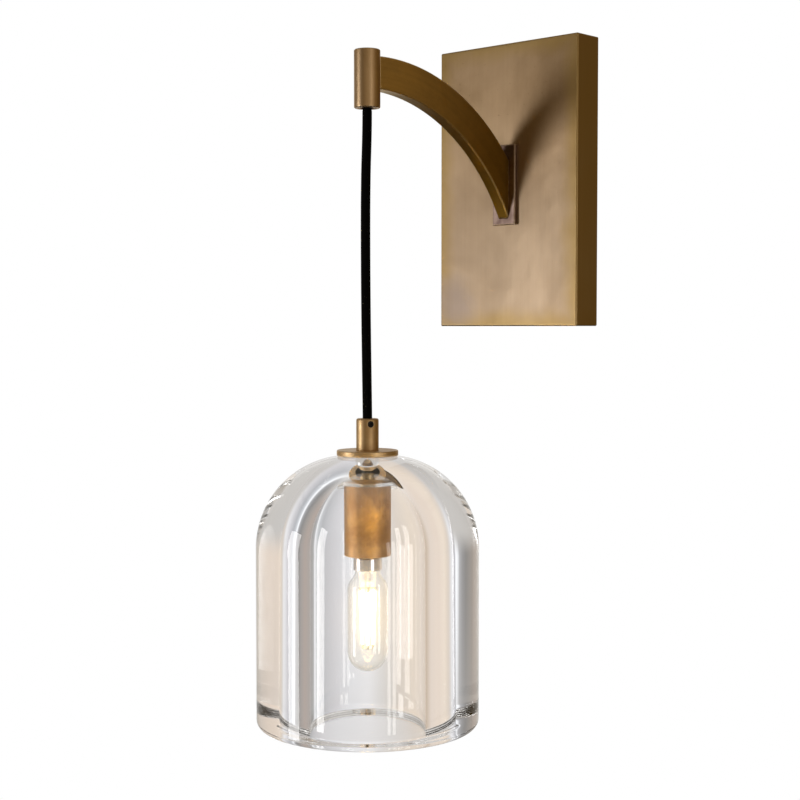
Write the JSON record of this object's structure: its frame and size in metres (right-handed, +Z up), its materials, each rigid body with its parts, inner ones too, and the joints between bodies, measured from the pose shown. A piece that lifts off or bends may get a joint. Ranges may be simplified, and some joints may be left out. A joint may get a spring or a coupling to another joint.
{
  "type": "pendant wall sconce",
  "caption": "Wall light: a rectangular plate and a curved arm carry a fabric cord, from which a thick domed clear glass bell hangs with an exposed tubular lamp inside.",
  "frame": {"origin": "centre of the wall plate's back, on the wall plane, midway between the two fixing slots", "axes": "+Z up; +Y into the wall, so the lamp reaches out along -Y; +X to the right as seen from the front"},
  "size_m": [0.14, 0.23, 0.4445],
  "materials": {
    "aged_brass": "antique brushed brass, lacquered",
    "bright_brass": "satin turned brass",
    "plated_steel": "zinc plated",
    "crystal_glass": "thick clear cast glass, polished",
    "lamp_glass": "thin clear blown glass",
    "clear_silicone": "translucent, soft",
    "black_rubber": "matte",
    "black_braid": "woven fabric sleeve over a round cord",
    "brown_insulation": "live insulation",
    "blue_insulation": "neutral insulation",
    "striped_insulation": "earth insulation, green and yellow",
    "white_nylon": "moulded",
    "contact_brass": "plain",
    "dark_resin": "moulded, heat resistant",
    "lamp_cap_metal": "bright nickel",
    "lamp_seal": "dark glassy seal",
    "lit_filament": "phosphor strip, lit"
  },
  "bodies": {
    "root": {"backplate_cover": "aged_brass", "wall_bracket": "plated_steel", "cover_screws": "aged_brass", "arm_foot": "aged_brass", "foot_screws": "plated_steel", "curved_arm": "aged_brass", "arm_end_tube": "aged_brass", "cord_bush": "aged_brass", "cord_bush_screw": "plated_steel", "earth_lead": "striped_insulation", "neutral_lead": "blue_insulation", "live_lead": "brown_insulation", "wire_grommet": "black_rubber", "terminal_block": "white_nylon", "terminal_inserts": "contact_brass", "terminal_screws": "plated_steel", "terminal_block_screws": "plated_steel", "earth_screw": "plated_steel", "cord_tail": "black_braid"},
    "cord_bend": {"cord_knuckle": "black_braid"},
    "hanging_cord": {"cord": "black_braid"},
    "pendant": {"cord_grip": "bright_brass", "grip_screw": "plated_steel", "cap_disc": "bright_brass", "top_gasket": "clear_silicone", "glass_shade": "crystal_glass", "seat_washer": "clear_silicone", "threaded_nipple": "bright_brass", "socket_cup": "bright_brass", "lock_nut": "plated_steel", "holder_stirrup": "plated_steel", "holder_rivets": "plated_steel", "lampholder_body": "dark_resin", "lampholder_shell": "contact_brass", "centre_contact": "contact_brass", "neutral_core": "blue_insulation", "live_core": "brown_insulation", "earth_core": "striped_insulation"},
    "lamp": {"lamp_cap": "lamp_cap_metal", "lamp_insulator": "lamp_seal", "lamp_contact": "contact_brass", "lamp_envelope": "lamp_glass", "lamp_stem": "lamp_glass", "lamp_filaments": "lit_filament", "filament_supports": "plated_steel"}
  },
  "joints": [
    {"name": "swing_to_wall", "type": "hinge", "parent": "root", "child": "cord_bend", "pos_m": [0, -0.16, 0.0384], "axis": [1, 0, 0], "range_deg": [-30, 13]},
    {"name": "swing_sideways", "type": "hinge", "parent": "cord_bend", "child": "hanging_cord", "pos_m": [0, -0.16, 0.0384], "axis": [0, 1, 0], "range_deg": [-30, 30]},
    {"name": "cord_twist", "type": "hinge", "parent": "hanging_cord", "child": "pendant", "pos_m": [0, -0.16, -0.1544], "axis": [0, 0, 1], "range_deg": [-180, 180], "stiffness_Nm_per_rad": 0.002},
    {"name": "lamp_removal", "type": "slide", "parent": "pendant", "child": "lamp", "axis": [0, 0, -1], "range_m": [0, 0.13]}
  ]
}
